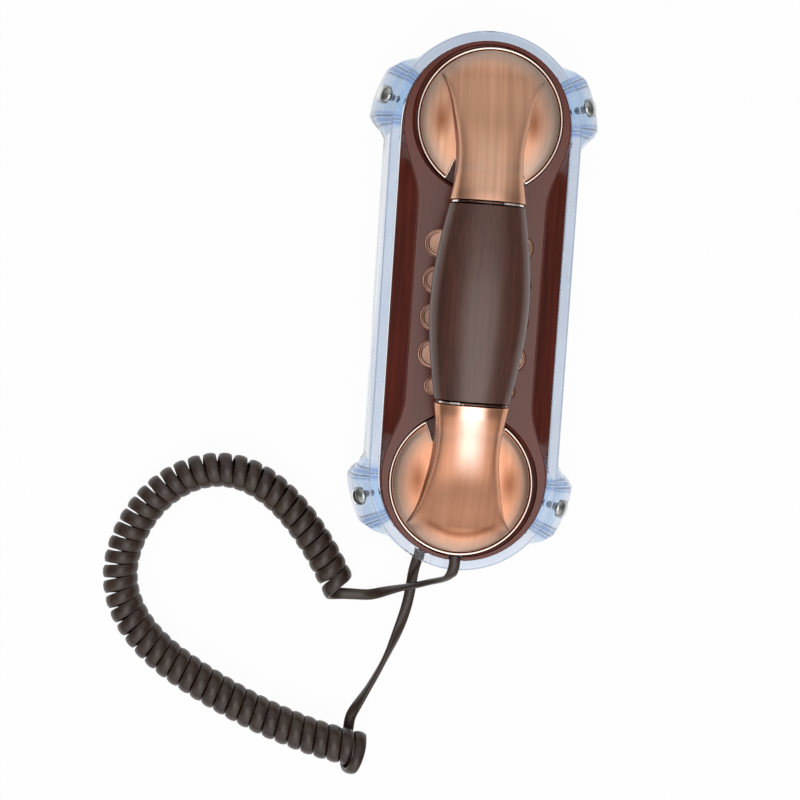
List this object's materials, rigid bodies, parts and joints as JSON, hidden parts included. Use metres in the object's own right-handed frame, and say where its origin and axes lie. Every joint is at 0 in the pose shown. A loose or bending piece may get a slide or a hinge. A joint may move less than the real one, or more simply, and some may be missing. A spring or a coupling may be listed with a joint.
{
  "type": "slimline wall phone",
  "caption": "Slim corded telephone: stadium body in a clear surround, keypad under an arched handset on round cradle cups, curly cord",
  "frame": {"origin": "middle of the flat back, on the surface the phone lies on; the free cord is left out", "axes": "+Z out of the face, +Y towards the ear end, +X to the right seen from the front"},
  "size_m": [0.1958, 0.314, 0.0705],
  "materials": {
    "face_wood": "lacquered dark red wood grain",
    "grip_wood": "satin dark wood grain",
    "copper": "brushed along the length",
    "crystal": "clear with a blue tint",
    "chrome": "polished",
    "steel": "plain",
    "cup_plastic": "satin",
    "back_plastic": "fine texture",
    "black_plastic": "plain",
    "silicone": "matt",
    "board": "solder mask",
    "cord": "satin",
    "plug_plastic": "clear"
  },
  "bodies": {
    "body": {"back_cover": "back_plastic", "base_lead": "cord", "base_plug": "plug_plastic", "circuit_board": "board", "cord_jack": "black_plastic", "cover_screw_1": "steel", "cover_screw_2": "steel", "cover_screw_3": "steel", "cover_screw_4": "steel", "crystal_surround": "crystal", "curly_cord": "cord", "face_plate": "face_wood", "handset_lead": "cord", "hook_switch": "black_plastic", "keypad_mat": "silicone", "line_jack": "black_plastic", "lug_stud_1": "chrome", "lug_stud_2": "chrome", "lug_stud_3": "chrome", "lug_stud_4": "chrome", "ringer": "black_plastic"},
    "handset": {"grip_sleeve": "grip_wood", "ear_cap": "copper", "mouth_cap": "copper", "ear_trim_ring": "copper", "mouth_trim_ring": "copper", "chrome_band_ear": "chrome", "chrome_band_mouth": "chrome", "ear_cup": "cup_plastic", "mouth_cup": "cup_plastic", "receiver": "steel", "microphone": "steel", "handset_jack": "black_plastic", "ear_screw": "steel", "mouth_screw": "steel", "weight_bar": "steel", "handset_plug": "plug_plastic"},
    "plunger": {"hook_plunger": "black_plastic"},
    "key_1": {"key_1": "copper"},
    "key_2": {"key_2": "copper"},
    "key_3": {"key_3": "copper"},
    "key_4": {"key_4": "copper"},
    "key_5": {"key_5": "copper"},
    "key_6": {"key_6": "copper"},
    "key_7": {"key_7": "copper"},
    "key_8": {"key_8": "copper"},
    "key_9": {"key_9": "copper"},
    "key_star": {"key_star": "copper"},
    "key_0": {"key_0": "copper"},
    "key_hash": {"key_hash": "copper"},
    "key_mute": {"key_mute": "copper"},
    "key_flash": {"key_flash": "copper"},
    "key_redial": {"key_redial": "copper"}
  },
  "joints": [
    {"name": "handset_lift", "type": "slide", "parent": "body", "child": "handset", "axis": [0, 0, 1], "range_m": [0, 0.08]},
    {"name": "hook_plunger_slide", "type": "slide", "parent": "body", "child": "plunger", "axis": [0, 0, 1], "range_m": [0, 0.003]},
    {"name": "key_1_press", "type": "slide", "parent": "body", "child": "key_1", "axis": [0, 0, 1], "range_m": [-0.0012, 0], "stiffness_N_per_m": 300},
    {"name": "key_2_press", "type": "slide", "parent": "body", "child": "key_2", "axis": [0, 0, 1], "range_m": [-0.0012, 0], "stiffness_N_per_m": 300},
    {"name": "key_3_press", "type": "slide", "parent": "body", "child": "key_3", "axis": [0, 0, 1], "range_m": [-0.0012, 0], "stiffness_N_per_m": 300},
    {"name": "key_4_press", "type": "slide", "parent": "body", "child": "key_4", "axis": [0, 0, 1], "range_m": [-0.0012, 0], "stiffness_N_per_m": 300},
    {"name": "key_5_press", "type": "slide", "parent": "body", "child": "key_5", "axis": [0, 0, 1], "range_m": [-0.0012, 0], "stiffness_N_per_m": 300},
    {"name": "key_6_press", "type": "slide", "parent": "body", "child": "key_6", "axis": [0, 0, 1], "range_m": [-0.0012, 0], "stiffness_N_per_m": 300},
    {"name": "key_7_press", "type": "slide", "parent": "body", "child": "key_7", "axis": [0, 0, 1], "range_m": [-0.0012, 0], "stiffness_N_per_m": 300},
    {"name": "key_8_press", "type": "slide", "parent": "body", "child": "key_8", "axis": [0, 0, 1], "range_m": [-0.0012, 0], "stiffness_N_per_m": 300},
    {"name": "key_9_press", "type": "slide", "parent": "body", "child": "key_9", "axis": [0, 0, 1], "range_m": [-0.0012, 0], "stiffness_N_per_m": 300},
    {"name": "key_star_press", "type": "slide", "parent": "body", "child": "key_star", "axis": [0, 0, 1], "range_m": [-0.0012, 0], "stiffness_N_per_m": 300},
    {"name": "key_0_press", "type": "slide", "parent": "body", "child": "key_0", "axis": [0, 0, 1], "range_m": [-0.0012, 0], "stiffness_N_per_m": 300},
    {"name": "key_hash_press", "type": "slide", "parent": "body", "child": "key_hash", "axis": [0, 0, 1], "range_m": [-0.0012, 0], "stiffness_N_per_m": 300},
    {"name": "key_mute_press", "type": "slide", "parent": "body", "child": "key_mute", "axis": [0, 0, 1], "range_m": [-0.0012, 0], "stiffness_N_per_m": 300},
    {"name": "key_flash_press", "type": "slide", "parent": "body", "child": "key_flash", "axis": [0, 0, 1], "range_m": [-0.0012, 0], "stiffness_N_per_m": 300},
    {"name": "key_redial_press", "type": "slide", "parent": "body", "child": "key_redial", "axis": [0, 0, 1], "range_m": [-0.0012, 0], "stiffness_N_per_m": 300}
  ],
  "couplings": [
    {"joint": "hook_plunger_slide", "follows": "handset_lift", "ratio": 0.0375}
  ]
}
